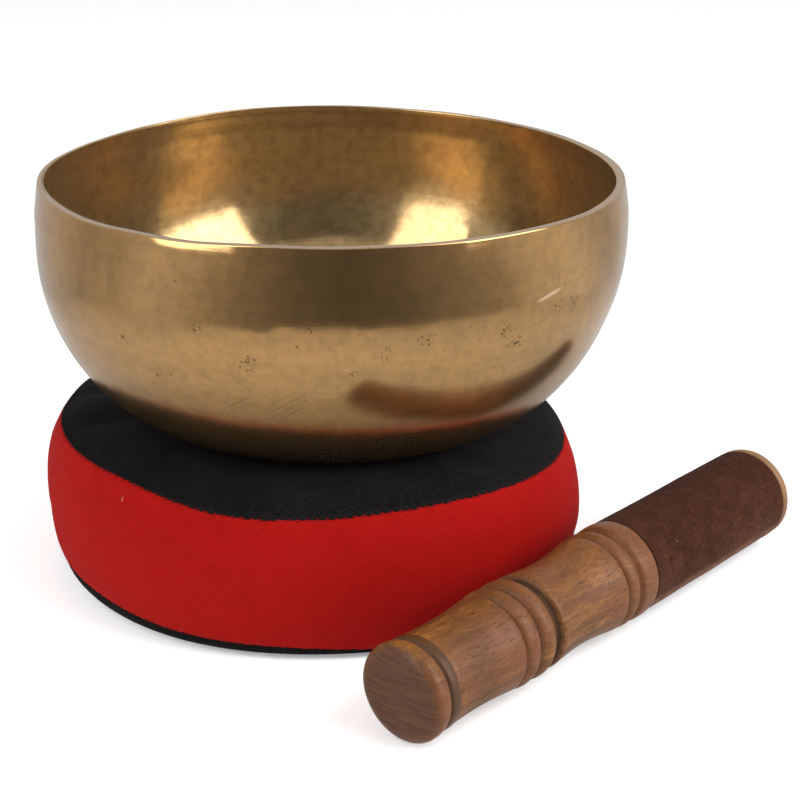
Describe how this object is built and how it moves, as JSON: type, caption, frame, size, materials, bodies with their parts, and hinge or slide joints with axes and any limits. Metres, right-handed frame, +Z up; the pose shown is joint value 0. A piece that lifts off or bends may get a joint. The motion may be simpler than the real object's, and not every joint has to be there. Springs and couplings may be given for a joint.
{
  "type": "singing bowl set",
  "caption": "Hammered bronze singing bowl on a round drum cushion with dark panels and a red side band, with a turned wooden mallet whose head has a suede sleeve.",
  "frame": {"origin": "centre of the cushion's flat underside, on the table", "axes": "+Z up, -Z out of the cushion's underside; +X to the right and +Y away from the side the set is seen from, with the mallet in front and to the right"},
  "size_m": [0.2274, 0.215, 0.12],
  "materials": {
    "bronze": "hand-hammered bronze, polished by use, with dull patina and small dark pits",
    "foam": "soft stuffing, hidden inside the cloth",
    "black_cloth": "matt brushed black cloth",
    "red_cloth": "plain-woven red cotton",
    "black_thread": "black overlock thread",
    "red_thread": "red sewing thread",
    "wood": "turned hardwood, waxed to a low sheen",
    "suede": "dark brown suede with a short nap"
  },
  "bodies": {
    "cushion": {"cushion_core": "foam", "cushion_top_panel": "black_cloth", "cushion_side_band": "red_cloth", "cushion_bottom_panel": "black_cloth", "top_seam_thread": "black_thread", "bottom_seam_thread": "black_thread", "band_closing_seam": "red_thread"},
    "bowl": {"bronze_bowl": "bronze"},
    "mallet": {"mallet_body": "wood", "suede_sleeve": "suede"}
  },
  "joints": [
    {"name": "bowl_lift", "type": "slide", "parent": "cushion", "child": "bowl", "axis": [0, 0, 1], "range_m": [0, 0.12]},
    {"name": "mallet_lift", "type": "slide", "parent": "cushion", "child": "mallet", "axis": [0.5255, -0.4731, 0.7071], "range_m": [0, 0.15]}
  ]
}
